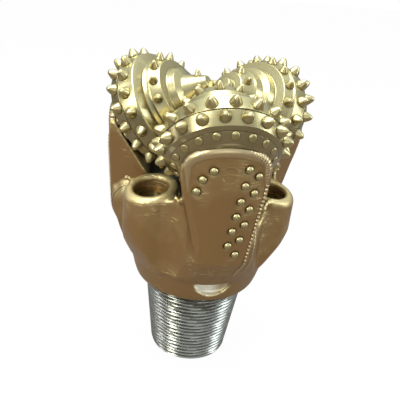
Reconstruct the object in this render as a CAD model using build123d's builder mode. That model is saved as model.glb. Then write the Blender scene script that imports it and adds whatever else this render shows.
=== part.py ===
from build123d import *
import math
import os

# Tricone rock bit, 8-1/2 in, sealed journal bearings, standing on its pin with the cones up.
# Millimetres. +Z runs along the bit axis from the pin end to the cones, origin at the pin end.
# A leg is placed by its direction about +Z. A cone is drawn in its own plane, where x runs
# outward and down the journal axis from the point where it meets the bit axis, and y is the
# distance from the journal axis.

# Connection: API 4-1/2 REG pin
PIN_BASE_DIA = 117.475
PIN_LENGTH = 107.95
PIN_TAPER = 0.25
THREAD_DEPTH = 3.0
RELIEF_LENGTH = 12.7
PIN_END_CHAMFER = 4.0
WATER_BORE_DIA = 57.15
SHOULDER_DIA = 139.7

# Body and legs. A drop is a distance below the crossing of the journal axes
GAUGE_DIA = 215.9
LEG_RELIEF = 2.0
LEG_COUNT = 3
FRONT_DIRECTION = -90.0
NECK_RADIUS = 77.0
NECK_HEIGHT = 134.0
ROOT_RADIUS = 102.5
ROOT_DROP = 158.7
SHOULDER_RIM_RADIUS = 72.5
SHOULDER_RIM_HEIGHT = 116.0
DOME_HEIGHT = 222.0
DOME_BEVEL_HEIGHT = 26.0
DOME_RADIUS = 52.0
CAVITY_RADIUS = 36.0
DOME_WALL = 16.0
CAVITY_FLOOR = 128.0
CAVITY_CHAMFER = 6.0
BACK_DROP = 84.7
ENVELOPE_DROP = 14.7
ARM_WALL = 4.0
LEG_TOP_DROP = 31.7
LEG_SHOULDER_DROP = 55.7
LEG_SIDE_DROP = 66.7
LEG_HEAD_RADIUS = 43.0
LEG_FOOT_LEFT = 16.0
LEG_FOOT_RIGHT = 28.0
LEG_FOOT_DROP = 174.7
NOTCH_HEIGHT = 17.0
NOTCH_FLOOR = 66.0
NOTCH_RADIUS = 21.0
NOTCH_OFFSET = 6.0

# Journal
JOURNAL_ANGLE = 36.0
CROSSING_RISE = 112.7
LEG_FACE = 105.3
JOURNAL_RADIUS = 28.0
JOURNAL_END = 72.0
SEAL_LAND_RADIUS = 30.0
SEAL_LAND_END = 97.5
BALL_NECK_RADIUS = 22.0
BALL_CIRCLE_RADIUS = 24.5
BALL_RADIUS = 5.5
BALL_STATION = 65.5
BALL_COUNT = 12
THRUST_STATION = 58.5
PILOT_RADIUS = 13.0
PILOT_END = 47.0
PILOT_CHAMFER = 2.0
JOURNAL_ROOT = 4.0

# Cone cavity and bearing pieces
RUNNING_CLEARANCE = 0.05
SEAT_CLEARANCE = 0.02
END_CLEARANCE = 0.3
BUSHING_WALL = 3.5
SEAL_WIDTH = 5.0
SEAL_HEIGHT = 5.4
THRUST_WASHER_THICKNESS = 2.0

# Cone shell
CONE_BACK = 104.5
GAUGE_STATION = 93.2
GAUGE_RADIUS = 55.38
GAUGE_BAND = 17.5
ROW_ONE_RADIUS = 60.5
ROW_TWO_RADIUS = 61.0
OUTER_SHELL_STATION = 79.5
INNER_RIDGE_STATION = 62.8
INNER_RIDGE_RADIUS = 57.5

BACK_CHAMFER = 1.0
BALL_BORE_STEP = 2.0

# Inserts
GRIP_LENGTH = 6.0
INSERT_LAND = 0.6
SOCKET_CLEARANCE = 0.03
SOCKET_OPENING = 1.5
GAUGE_BAND_SHARE = 0.55
HEEL_ROW_SHARE = 0.55
SECOND_ROW_SHARE = 0.42

# Nozzles
BOSS_DISTANCE = 72.0
BOSS_RADIUS = 28.0
BOSS_STAND = 8.0
BOSS_RIM_ROUND = 5.0
SOCKET_RADIUS = 18.0
SOCKET_DEPTH = 42.0
JET_PORT_RADIUS = 12.0
JET_RADIUS = 15.4
JET_LENGTH = 22.0
JET_THROAT_SHARE = 0.7
RETAINER_BORE = 12.5
BOSS_PORT_DEPTH = 62.0
JET_ORIFICE_RADIUS = 6.4
JET_ENTRY_RADIUS = 11.0
RETAINER_THICKNESS = 4.0
PACKING_HEIGHT = 4.0

# Hardfacing buttons on the leg backs: distance across the leg and drop below the crossing
BUTTON_RADIUS = 3.6
BUTTON_RISE = 2.4
BUTTON_GRIP = 3.0
LEFT_BUTTONS = [(-14.5, 55.7), (-23.5, 65.2), (-28.0, 77.7)]
BUTTON_COLUMNS = [((18.5, 53.7), (8.3, 135.2)), ((29.0, 61.2), (17.3, 146.2))]
COLUMN_BUTTONS = 6

# Lubrication reservoir and ball plug
RESERVOIR_RADIUS = 11.0
RESERVOIR_DEPTH = 12.0
RESERVOIR_DISTANCE = 28.0
DIAPHRAGM_HEIGHT = 8.0
DIAPHRAGM_WALL = 2.0
CAP_VENT_RADIUS = 2.0
CAP_RECESS_RADIUS = 5.0
CAP_RECESS_DEPTH = 2.0
BALL_PLUG_RADIUS = 6.0
BALL_HOLE_DROP = 58.7
BALL_HOLE_TARGET = 19.0
PLUG_SHORT = 8.0

os.makedirs("parts", exist_ok=True)

sector = 360.0 / LEG_COUNT
sin_journal = math.sin(math.radians(JOURNAL_ANGLE))
cos_journal = math.cos(math.radians(JOURNAL_ANGLE))
leg_radius = GAUGE_DIA / 2 - LEG_RELIEF
cone_shift = GAUGE_DIA / 2 - GAUGE_STATION * cos_journal - GAUGE_RADIUS * sin_journal
heel_station = GAUGE_STATION + GAUGE_BAND * sin_journal
heel_radius = GAUGE_RADIUS - GAUGE_BAND * cos_journal
pin_root_base = PIN_BASE_DIA / 2 - THREAD_DEPTH
pin_root_end = pin_root_base - (PIN_LENGTH - RELIEF_LENGTH) * PIN_TAPER / 2
bushing_radius = JOURNAL_RADIUS + RUNNING_CLEARANCE + BUSHING_WALL
seal_gland_radius = SEAL_LAND_RADIUS + SEAL_HEIGHT + END_CLEARANCE
seal_gland_floor = CONE_BACK - SEAL_WIDTH - 2 * END_CLEARANCE
pilot_bore_radius = PILOT_RADIUS + RUNNING_CLEARANCE
pilot_bore_end = PILOT_END - END_CLEARANCE
washer_seat = THRUST_STATION - THRUST_WASHER_THICKNESS - RUNNING_CLEARANCE
ball_bore_radius = BALL_NECK_RADIUS + 2 * BALL_BORE_STEP
race_radius = BALL_RADIUS + RUNNING_CLEARANCE
bushing_start = JOURNAL_END + END_CLEARANCE
bushing_end = SEAL_LAND_END - END_CLEARANCE
seal_start = seal_gland_floor + SEAT_CLEARANCE
washer_start = washer_seat + SEAT_CLEARANCE
washer_outer = BALL_NECK_RADIUS - END_CLEARANCE
crossing_height = DOME_HEIGHT + CROSSING_RISE
dome_edge_height = DOME_HEIGHT - DOME_BEVEL_HEIGHT
cavity_top = DOME_HEIGHT - DOME_WALL
root_height = crossing_height - ROOT_DROP
back_height = crossing_height - BACK_DROP
envelope_top = crossing_height - ENVELOPE_DROP
leg_top = crossing_height - LEG_TOP_DROP
leg_shoulder_height = crossing_height - LEG_SHOULDER_DROP
leg_side_height = crossing_height - LEG_SIDE_DROP
leg_foot_height = crossing_height - LEG_FOOT_DROP
arm_start = CAVITY_RADIUS + ARM_WALL
boss_top = DOME_HEIGHT + BOSS_STAND
jet_foot = boss_top - SOCKET_DEPTH + PACKING_HEIGHT


def direction(index, offset=0.0):
    """Unit vector out along a leg, or along a line turned from it by offset degrees."""
    angle = math.radians(FRONT_DIRECTION + sector * index + offset)
    return Vector(math.cos(angle), math.sin(angle), 0)


def radial_plane(index, offset=0.0):
    """Upright plane through the bit axis: x outward, y up."""
    out = direction(index, offset)
    return Plane(origin=(0, 0, 0), x_dir=out, z_dir=out.cross(Vector(0, 0, 1)))


def journal_plane(index):
    """Upright plane of a leg: x outward and down the journal axis, y away from that axis."""
    out = direction(index)
    along = out * cos_journal - Vector(0, 0, sin_journal)
    origin = out * cone_shift + Vector(0, 0, crossing_height)
    return Plane(origin=origin, x_dir=along, z_dir=out.cross(Vector(0, 0, 1)))


def journal_axis(index):
    plane = journal_plane(index)
    return Axis(plane.origin, plane.x_dir)


def save(builder, name):
    builder.part.label = name
    export_step(builder.part, f"parts/{name}.step")


def row_planes(index, row):
    """Planes of one row of inserts, z out of the shell along each insert."""
    plane = journal_plane(index)
    tilt = math.radians(row["tilt"])
    planes = []
    for number in range(row["count"]):
        turn = math.radians(row["start"] + 360.0 * number / row["count"])
        away = plane.y_dir * math.cos(turn) + plane.z_dir * math.sin(turn)
        around = plane.z_dir * math.cos(turn) - plane.y_dir * math.sin(turn)
        foot = plane.origin + plane.x_dir * row["station"] + away * row["radius"]
        out = away * math.cos(tilt) + plane.x_dir * math.sin(tilt)
        planes.append(Plane(origin=foot, x_dir=around, z_dir=out))
    return planes


# Cutting structure. Each row has its place on the shell, the lean of its inserts back towards
# the heel, their number and the angle of the first. The inner rows of the three cones
# interfit: each runs in a groove of the other two.
GAUGE_ROW = dict(
    name="gauge_compacts", count=18, start=0.0, grip=4.0, foot=3.8, tip=2.4, rise=1.2
)
HEEL_ROW = dict(name="heel_row_inserts", count=18, start=10.0, foot=6.0, tip=1.6, rise=9.0)
SECOND_ROW = dict(name="second_row_inserts", count=18, start=0.0, foot=6.0, tip=1.6, rise=8.5)

GAUGE_ROW["station"] = GAUGE_STATION + GAUGE_BAND_SHARE * (heel_station - GAUGE_STATION)
GAUGE_ROW["radius"] = GAUGE_RADIUS + GAUGE_BAND_SHARE * (heel_radius - GAUGE_RADIUS)
GAUGE_ROW["tilt"] = 90.0 - JOURNAL_ANGLE
HEEL_ROW["station"] = GAUGE_STATION + HEEL_ROW_SHARE * (OUTER_SHELL_STATION - GAUGE_STATION)
HEEL_ROW["radius"] = GAUGE_RADIUS + HEEL_ROW_SHARE * (ROW_ONE_RADIUS - GAUGE_RADIUS)
HEEL_ROW["tilt"] = math.degrees(
    math.atan2(ROW_ONE_RADIUS - GAUGE_RADIUS, GAUGE_STATION - OUTER_SHELL_STATION)
)
second_land = INNER_RIDGE_STATION - OUTER_SHELL_STATION
SECOND_ROW["station"] = OUTER_SHELL_STATION + SECOND_ROW_SHARE * second_land
SECOND_ROW["radius"] = ROW_TWO_RADIUS + SECOND_ROW_SHARE * (INNER_RIDGE_RADIUS - ROW_TWO_RADIUS)
SECOND_ROW["tilt"] = -math.degrees(
    math.atan2(ROW_TWO_RADIUS - INNER_RIDGE_RADIUS, OUTER_SHELL_STATION - INNER_RIDGE_STATION)
)

# Inner ends of the shells, from the inner ridge to the nose, and the rows that they carry.
CONES = [
    dict(
        name="cone_1",
        inner=[(61.0, 52.5), (58.0, 40.0), (43.0, 38.0), (41.0, 34.5), (30.8, 29.0), (30.2, 18.0)],
        nose=(20.0, 15.0),
        rows=[
            dict(
                name="third_row_inserts", station=35.8, radius=31.8, tilt=-28.0,
                count=10, start=10.0, foot=4.8, tip=1.5, rise=7.5,
            ),
        ],
    ),
    dict(
        name="cone_2",
        inner=[(52.8, 49.4), (52.2, 39.5), (43.2, 37.0), (41.6, 30.5), (33.0, 28.0),
               (31.0, 26.0), (18.8, 17.5), (18.2, 9.5)],
        nose=(12.0, 7.5),
        rows=[
            dict(
                name="third_row_inserts", station=57.3, radius=53.5, tilt=-39.0,
                count=16, start=0.0, foot=5.2, tip=1.5, rise=6.0,
            ),
            dict(
                name="inner_row_inserts", station=25.2, radius=22.0, tilt=-35.0,
                count=8, start=0.0, grip=5.0, foot=4.2, tip=1.4, rise=6.5,
            ),
        ],
    ),
    dict(
        name="cone_3",
        inner=[(61.0, 52.5), (59.0, 46.0), (55.0, 42.5), (52.3, 47.5), (41.8, 39.8),
               (41.2, 30.0), (34.0, 27.0), (31.0, 18.5)],
        nose=(9.0, 7.0),
        rows=[
            dict(
                name="third_row_inserts", station=47.0, radius=43.8, tilt=-36.0,
                count=14, start=0.0, foot=4.8, tip=1.5, rise=7.5,
            ),
            dict(
                name="nose_inserts", station=17.0, radius=11.4, tilt=-27.0,
                count=4, start=0.0, grip=4.0, foot=3.6, tip=1.2, rise=5.5,
            ),
        ],
    ),
]


def outer_shell():
    """Points of the shell that all three cones share, from the back face to the inner ridge."""
    return [
        (CONE_BACK, seal_gland_radius),
        (CONE_BACK, heel_radius - BACK_CHAMFER),
        (heel_station, heel_radius),
        (GAUGE_STATION, GAUGE_RADIUS),
        (OUTER_SHELL_STATION, ROW_ONE_RADIUS),
        (OUTER_SHELL_STATION, ROW_TWO_RADIUS),
        (INNER_RIDGE_STATION, INNER_RIDGE_RADIUS),
    ]


def cavity():
    """Points of the bearing cavity, from the pilot bore out to the seal gland."""
    return [
        (pilot_bore_end, 0),
        (pilot_bore_end, pilot_bore_radius),
        (washer_seat, pilot_bore_radius),
        (washer_seat, BALL_NECK_RADIUS + END_CLEARANCE),
        (THRUST_STATION + END_CLEARANCE, BALL_NECK_RADIUS + END_CLEARANCE),
        (THRUST_STATION + END_CLEARANCE, ball_bore_radius),
        (JOURNAL_END - END_CLEARANCE, ball_bore_radius),
        (JOURNAL_END - END_CLEARANCE, bushing_radius),
        (seal_gland_floor, bushing_radius),
        (seal_gland_floor, seal_gland_radius),
    ]


def insert_blank(row):
    """One insert standing at the origin: a round grip below, a land and a blunt cone above."""
    with BuildPart() as blank:
        with BuildSketch(Plane.XZ):
            with BuildLine():
                Polyline(
                    (0, -row["grip"]),
                    (row["foot"] - SOCKET_CLEARANCE, -row["grip"]),
                    (row["foot"] - SOCKET_CLEARANCE, row["land"]),
                    (row["tip"], row["rise"]),
                    (0, row["rise"]),
                    close=True,
                )
            make_face()
        revolve(axis=Axis.Z)
    return blank.part


def socket_blank(row):
    """The drilled seat of one insert, opened a little above the surface."""
    with BuildPart() as blank:
        with BuildSketch(Plane.XY.offset(-row["grip"])):
            Circle(row["foot"])
        extrude(amount=row["grip"] + SOCKET_OPENING)
    return blank.part


def rows_of(cone):
    return [GAUGE_ROW, HEEL_ROW, SECOND_ROW] + cone["rows"]


for index, cone in enumerate(CONES):
    plane = journal_plane(index)
    axis = journal_axis(index)
    for row in rows_of(cone):
        row.setdefault("grip", GRIP_LENGTH)
        row.setdefault("land", INSERT_LAND)

    # Cone shell: a forging turned outside and bored for its bearing, drilled for its inserts
    with BuildPart() as shell:
        with BuildSketch(plane):
            with BuildLine():
                Polyline(
                    *outer_shell(), *cone["inner"], cone["nose"], (cone["nose"][0], 0), *cavity(),
                    close=True,
                )
            make_face()
        revolve(axis=axis)
        with BuildSketch(plane):
            with Locations((BALL_STATION, BALL_CIRCLE_RADIUS)):
                Circle(race_radius)
        revolve(axis=axis, mode=Mode.SUBTRACT)
        for row in rows_of(cone):
            with Locations(*row_planes(index, row)):
                add(socket_blank(row), mode=Mode.SUBTRACT)
    save(shell, cone["name"])

    # Carbide inserts, pressed into the shell row by row
    for row in rows_of(cone):
        with BuildPart() as inserts:
            with Locations(*row_planes(index, row)):
                add(insert_blank(row))
        save(inserts, f"{row['name']}_{index + 1}")


def turned(outline, index):
    """A turned piece of the bearing, from its outline in the journal plane."""
    with BuildPart() as piece:
        with BuildSketch(journal_plane(index)):
            with BuildLine():
                Polyline(*outline, close=True)
            make_face()
        revolve(axis=journal_axis(index))
    return piece


def ring_outline(start, end, inner, outer):
    return [(start, inner), (end, inner), (end, outer), (start, outer)]


for index in range(LEG_COUNT):
    number = index + 1
    plane = journal_plane(index)

    # Journal bushing: floats between journal and cone
    bushing = turned(
        ring_outline(
            bushing_start,
            bushing_end,
            JOURNAL_RADIUS + RUNNING_CLEARANCE,
            bushing_radius - SEAT_CLEARANCE,
        ),
        index,
    )
    save(bushing, f"journal_bushing_{number}")

    # Rubber packing in the gland at the mouth of the cone
    seal = turned(
        ring_outline(
            seal_start,
            seal_start + SEAL_WIDTH,
            SEAL_LAND_RADIUS + RUNNING_CLEARANCE,
            seal_gland_radius - SEAT_CLEARANCE,
        ),
        index,
    )
    save(seal, f"cone_seal_{number}")

    # Thrust washer between the journal's shoulder and the cone
    washer = turned(
        ring_outline(
            washer_start,
            washer_start + THRUST_WASHER_THICKNESS - SEAT_CLEARANCE,
            pilot_bore_radius,
            washer_outer,
        ),
        index,
    )
    save(washer, f"thrust_washer_{number}")

    # Retaining balls, which hold the cone on its journal
    race = Plane(origin=plane.origin + plane.x_dir * BALL_STATION, x_dir=plane.y_dir, z_dir=plane.x_dir)
    with BuildPart() as balls:
        with Locations(race):
            with PolarLocations(BALL_CIRCLE_RADIUS, BALL_COUNT):
                Sphere(BALL_RADIUS)
    save(balls, f"retaining_balls_{number}")


# Body profile: pin, shoulder, neck and dome, as the welded legs are turned together
core_outline = [
    (WATER_BORE_DIA / 2, 0),
    (pin_root_end - PIN_END_CHAMFER, 0),
    (pin_root_end, PIN_END_CHAMFER),
    (pin_root_base, PIN_LENGTH - RELIEF_LENGTH),
    (PIN_BASE_DIA / 2, PIN_LENGTH - RELIEF_LENGTH),
    (PIN_BASE_DIA / 2, PIN_LENGTH),
    (SHOULDER_DIA / 2, PIN_LENGTH),
    (SHOULDER_RIM_RADIUS, SHOULDER_RIM_HEIGHT),
    (NECK_RADIUS, NECK_HEIGHT),
    (NECK_RADIUS, dome_edge_height),
    (DOME_RADIUS, DOME_HEIGHT),
    (0, DOME_HEIGHT),
    (0, cavity_top),
    (CAVITY_RADIUS - CAVITY_CHAMFER, cavity_top),
    (CAVITY_RADIUS, cavity_top - CAVITY_CHAMFER),
    (CAVITY_RADIUS, CAVITY_FLOOR + CAVITY_CHAMFER),
    (WATER_BORE_DIA / 2, CAVITY_FLOOR),
]
# Outer limit of legs and bosses: an upright back over a bevel down to the neck
envelope_outline = [
    (0, NECK_HEIGHT),
    (NECK_RADIUS, NECK_HEIGHT),
    (ROOT_RADIUS, root_height),
    (leg_radius, back_height),
    (leg_radius, envelope_top),
    (0, envelope_top),
]


def envelope():
    with BuildPart() as limit:
        with BuildSketch(Plane.XZ):
            with BuildLine():
                Polyline(*envelope_outline, close=True)
            make_face()
        revolve(axis=Axis.Z)
    return limit.part


def boss_origin(index, height):
    """Centre of the nozzle boss between a leg and the next, at a height."""
    return direction(index, sector / 2) * BOSS_DISTANCE + Vector(0, 0, height)


def boss_plane(index, height):
    out = direction(index, sector / 2)
    return Plane(origin=boss_origin(index, height), x_dir=out, z_dir=(0, 0, 1))


def port_plane(index):
    """Axis of a boss's port, z running in from the boss to the water course."""
    out = direction(index, sector / 2)
    return Plane(
        origin=boss_origin(index, boss_top - BOSS_PORT_DEPTH),
        x_dir=out.cross(Vector(0, 0, 1)),
        z_dir=-out,
    )


def back_plane(index, distance, height):
    """Upright plane across a leg: x across it, y up, z outward."""
    out = direction(index)
    across = Vector(0, 0, 1).cross(out)
    return Plane(origin=out * distance + Vector(0, 0, height), x_dir=across, z_dir=out)


def button_planes(index):
    """Feet of the hardfacing buttons: an arc of three and a double column down one edge."""
    spots = list(LEFT_BUTTONS)
    for top, foot in BUTTON_COLUMNS:
        for step in range(COLUMN_BUTTONS):
            share = step / (COLUMN_BUTTONS - 1)
            spots.append((top[0] + share * (foot[0] - top[0]), top[1] + share * (foot[1] - top[1])))
    planes = []
    for across, drop in spots:
        height = crossing_height - drop
        turn = math.degrees(math.asin(across / leg_radius))
        out = direction(index, turn)
        radius = back_radius(height)
        planes.append(
            Plane(origin=out * radius + Vector(0, 0, height), x_dir=(0, 0, 1), z_dir=out)
        )
    return planes


def back_radius(height):
    """Radius of a leg's upright back at a height above its bevel."""
    share = min(1.0, (height - root_height) / (back_height - root_height))
    return ROOT_RADIUS + share * (leg_radius - ROOT_RADIUS)


def ball_hole_plane(index):
    """Mouth of the ball hole on the leg's back, z running in towards the ball race."""
    plane = journal_plane(index)
    mouth = direction(index) * leg_radius + Vector(0, 0, crossing_height - BALL_HOLE_DROP)
    target = plane.origin + plane.x_dir * BALL_STATION - plane.y_dir * BALL_HOLE_TARGET
    run = target - mouth
    return Plane(origin=mouth, z_dir=run), run.length


def reservoir_plane(index):
    return Plane(origin=direction(index) * RESERVOIR_DISTANCE + Vector(0, 0, DOME_HEIGHT))


button_blank = dict(
    grip=BUTTON_GRIP, land=BUTTON_RISE / 3, foot=BUTTON_RADIUS, tip=BUTTON_RADIUS / 2,
    rise=BUTTON_RISE,
)

for index in range(LEG_COUNT):
    number = index + 1
    hole_plane, hole_length = ball_hole_plane(index)

    # Arm of the leg: a tongue that narrows to its foot, cut to the turned back and to the
    # sloping face that backs the cone
    with BuildPart() as arm:
        with BuildSketch(back_plane(index, arm_start, 0)):
            with BuildLine():
                top = ThreePointArc(
                    (-LEG_HEAD_RADIUS, leg_shoulder_height),
                    (0, leg_top),
                    (LEG_HEAD_RADIUS, leg_shoulder_height),
                )
                Polyline(
                    top @ 1,
                    (LEG_HEAD_RADIUS, leg_side_height),
                    (LEG_FOOT_RIGHT, leg_foot_height),
                    (LEG_FOOT_RIGHT, NECK_HEIGHT),
                    (-LEG_FOOT_LEFT, NECK_HEIGHT),
                    (-LEG_FOOT_LEFT, leg_foot_height),
                    (-LEG_HEAD_RADIUS, leg_side_height),
                    top @ 0,
                )
            make_face()
        extrude(amount=GAUGE_DIA / 2 - arm_start)
        add(envelope(), mode=Mode.INTERSECT)
        with BuildSketch(journal_plane(index)):
            with Locations((LEG_FACE, 0)):
                Rectangle(GAUGE_DIA, 2 * GAUGE_DIA, align=(Align.MIN, Align.CENTER))
        extrude(amount=GAUGE_DIA, both=True, mode=Mode.INTERSECT)

    # Journal with its seal land, bearing, ball neck and pilot pin
    journal = turned(
        [
            (LEG_FACE + JOURNAL_ROOT, 0),
            (LEG_FACE + JOURNAL_ROOT, SEAL_LAND_RADIUS),
            (SEAL_LAND_END, SEAL_LAND_RADIUS),
            (SEAL_LAND_END, JOURNAL_RADIUS),
            (JOURNAL_END, JOURNAL_RADIUS),
            (JOURNAL_END, BALL_NECK_RADIUS),
            (THRUST_STATION, BALL_NECK_RADIUS),
            (THRUST_STATION, PILOT_RADIUS),
            (PILOT_END + PILOT_CHAMFER, PILOT_RADIUS),
            (PILOT_END, PILOT_RADIUS - PILOT_CHAMFER),
            (PILOT_END, 0),
        ],
        index,
    )

    # Leg: a third of the body and pin with its arm and journal in one forging
    with BuildPart() as leg:
        with BuildSketch(radial_plane(index, -sector / 2)):
            with BuildLine():
                Polyline(*core_outline, close=True)
            make_face()
        revolve(axis=Axis.Z, revolution_arc=sector)
        add(arm.part)
        add(journal.part)
        with BuildSketch(journal_plane(index)):
            with Locations((BALL_STATION, BALL_CIRCLE_RADIUS)):
                Circle(race_radius)
        revolve(axis=journal_axis(index), mode=Mode.SUBTRACT)
        # Pockets for the nozzle bosses on both sides, and their ports from the water course
        for side in (index, index - 1):
            with Locations(boss_plane(side, NECK_HEIGHT)):
                Cylinder(
                    BOSS_RADIUS, GAUGE_DIA, align=(Align.CENTER, Align.CENTER, Align.MIN),
                    mode=Mode.SUBTRACT,
                )
            with BuildSketch(port_plane(side)):
                Circle(JET_PORT_RADIUS)
            extrude(amount=BOSS_DISTANCE, mode=Mode.SUBTRACT)
        # Bit breaker notch under the arm
        with BuildSketch(back_plane(index, NOTCH_FLOOR, NECK_HEIGHT)):
            with BuildLine():
                scoop = ThreePointArc(
                    (NOTCH_OFFSET - NOTCH_RADIUS, 0),
                    (NOTCH_OFFSET, -NOTCH_HEIGHT),
                    (NOTCH_OFFSET + NOTCH_RADIUS, 0),
                )
                Line(scoop @ 1, scoop @ 0)
            make_face()
        extrude(amount=GAUGE_DIA, mode=Mode.SUBTRACT)
        # Ball hole, sockets of the hardfacing buttons, and the grease reservoir in the dome
        with Locations(hole_plane):
            Cylinder(
                BALL_PLUG_RADIUS + SEAT_CLEARANCE, hole_length,
                align=(Align.CENTER, Align.CENTER, Align.MIN), mode=Mode.SUBTRACT,
            )
        with Locations(*button_planes(index)):
            add(socket_blank(button_blank), mode=Mode.SUBTRACT)
        with Locations(reservoir_plane(index)):
            Hole(RESERVOIR_RADIUS, RESERVOIR_DEPTH)
    save(leg, f"leg_{number}")

    # Buttons pressed into the back of the leg
    with BuildPart() as buttons:
        with Locations(*button_planes(index)):
            add(insert_blank(button_blank))
    save(buttons, f"leg_buttons_{number}")

    # Plug that closes the ball hole once the balls are in
    with BuildPart() as plug:
        with Locations(hole_plane):
            Cylinder(
                BALL_PLUG_RADIUS, hole_length - PLUG_SHORT,
                align=(Align.CENTER, Align.CENTER, Align.MIN),
            )
        add(envelope(), mode=Mode.INTERSECT)
    save(plug, f"ball_plug_{number}")

    # Grease reservoir: a rubber diaphragm under a pressed-in cap
    with BuildPart() as diaphragm:
        with BuildSketch(reservoir_plane(index).offset(-RESERVOIR_DEPTH)):
            Circle(RESERVOIR_RADIUS - SEAT_CLEARANCE)
        extrude(amount=DIAPHRAGM_HEIGHT)
        with BuildSketch(reservoir_plane(index).offset(-RESERVOIR_DEPTH)):
            Circle(RESERVOIR_RADIUS - DIAPHRAGM_WALL)
        extrude(amount=DIAPHRAGM_HEIGHT - DIAPHRAGM_WALL, mode=Mode.SUBTRACT)
    save(diaphragm, f"reservoir_diaphragm_{number}")

    with BuildPart() as cap:
        with BuildSketch(reservoir_plane(index).offset(-RESERVOIR_DEPTH + DIAPHRAGM_HEIGHT)):
            Circle(RESERVOIR_RADIUS - SEAT_CLEARANCE)
        extrude(amount=RESERVOIR_DEPTH - DIAPHRAGM_HEIGHT)
        with Locations(reservoir_plane(index)):
            CounterBoreHole(CAP_VENT_RADIUS, CAP_RECESS_RADIUS, CAP_RECESS_DEPTH)
    save(cap, f"reservoir_cap_{number}")

    # Nozzle boss: a forged tube welded into the pockets of two legs, bored for the jet
    with BuildPart() as boss:
        with BuildSketch(boss_plane(index, NECK_HEIGHT)):
            Circle(BOSS_RADIUS)
        extrude(amount=boss_top - NECK_HEIGHT)
        rim = boss.edges().group_by(Axis.Z)[-1]
        fillet(rim, BOSS_RIM_ROUND)
        add(envelope(), mode=Mode.INTERSECT)
        with Locations(boss_plane(index, boss_top)):
            CounterBoreHole(JET_PORT_RADIUS, SOCKET_RADIUS, SOCKET_DEPTH, BOSS_PORT_DEPTH)
        with BuildSketch(port_plane(index)):
            Circle(JET_PORT_RADIUS)
        extrude(amount=BOSS_RADIUS, mode=Mode.SUBTRACT)
    save(boss, f"nozzle_boss_{number}")

    # Packing ring, jet and retaining ring, stacked in the boss
    floor = boss_plane(index, boss_top - SOCKET_DEPTH)
    with BuildPart() as packing:
        with BuildSketch(floor):
            Circle(SOCKET_RADIUS - SEAT_CLEARANCE)
            Circle(JET_PORT_RADIUS, mode=Mode.SUBTRACT)
        extrude(amount=PACKING_HEIGHT)
    save(packing, f"nozzle_packing_{number}")

    with BuildPart() as jet:
        with BuildSketch(radial_plane(index, sector / 2)):
            with BuildLine():
                entry = (BOSS_DISTANCE + JET_ENTRY_RADIUS, jet_foot)
                throat = (BOSS_DISTANCE + JET_ORIFICE_RADIUS, jet_foot + JET_LENGTH * JET_THROAT_SHARE)
                Polyline(
                    (BOSS_DISTANCE + JET_RADIUS, jet_foot),
                    entry,
                    throat,
                    (BOSS_DISTANCE + JET_ORIFICE_RADIUS, jet_foot + JET_LENGTH),
                    (BOSS_DISTANCE + JET_RADIUS, jet_foot + JET_LENGTH),
                    (BOSS_DISTANCE + JET_RADIUS, jet_foot),
                )
            make_face()
        revolve(
            axis=Axis(boss_origin(index, 0), (0, 0, 1)),
        )
    save(jet, f"jet_nozzle_{number}")

    with BuildPart() as retainer:
        with BuildSketch(floor.offset(PACKING_HEIGHT + JET_LENGTH)):
            Circle(SOCKET_RADIUS - SEAT_CLEARANCE)
            Circle(RETAINER_BORE, mode=Mode.SUBTRACT)
        extrude(amount=RETAINER_THICKNESS)
    save(retainer, f"nozzle_retainer_{number}")
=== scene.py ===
import math
import bmesh
import bpy
from mathutils import Matrix, Vector
from mathutils.bvhtree import BVHTree


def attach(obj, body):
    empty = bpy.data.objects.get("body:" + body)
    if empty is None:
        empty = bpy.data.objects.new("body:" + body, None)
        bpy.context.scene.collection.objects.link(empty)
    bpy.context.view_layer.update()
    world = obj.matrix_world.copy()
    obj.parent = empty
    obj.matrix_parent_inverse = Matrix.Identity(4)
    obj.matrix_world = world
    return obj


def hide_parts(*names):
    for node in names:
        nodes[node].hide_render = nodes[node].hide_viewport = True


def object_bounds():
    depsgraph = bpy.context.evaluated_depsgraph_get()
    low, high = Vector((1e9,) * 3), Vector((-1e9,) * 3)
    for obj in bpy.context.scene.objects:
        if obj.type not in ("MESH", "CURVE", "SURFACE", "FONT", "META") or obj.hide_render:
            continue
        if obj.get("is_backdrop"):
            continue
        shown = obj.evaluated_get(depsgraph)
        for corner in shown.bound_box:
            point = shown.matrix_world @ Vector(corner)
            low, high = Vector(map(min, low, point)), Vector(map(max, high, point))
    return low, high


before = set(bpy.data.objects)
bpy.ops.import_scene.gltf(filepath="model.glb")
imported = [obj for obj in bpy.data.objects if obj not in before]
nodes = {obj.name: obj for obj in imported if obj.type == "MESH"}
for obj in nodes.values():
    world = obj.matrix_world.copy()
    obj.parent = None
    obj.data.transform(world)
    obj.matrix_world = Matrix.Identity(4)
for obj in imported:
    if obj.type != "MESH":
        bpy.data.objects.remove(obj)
cad_low, cad_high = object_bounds()

# --- Camera, floor and light -----------------------------------------------------------------
# A studio for a heavy tool: white floor, a large overhead box, a key from the upper left and a
# low fill, so that upward faces shine pale and upright faces stay deep.
LEG_TURN = math.radians(11.8)
CAMERA_DISTANCE = 0.5804
CAMERA_HEIGHT = 0.4926
CAMERA_PITCH = 0.474
CAMERA_YAW = -0.005
CAMERA_ROLL = 0.111
SENSOR_WIDTH = 36.0
FOCAL_LENGTH = 52.3494

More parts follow.
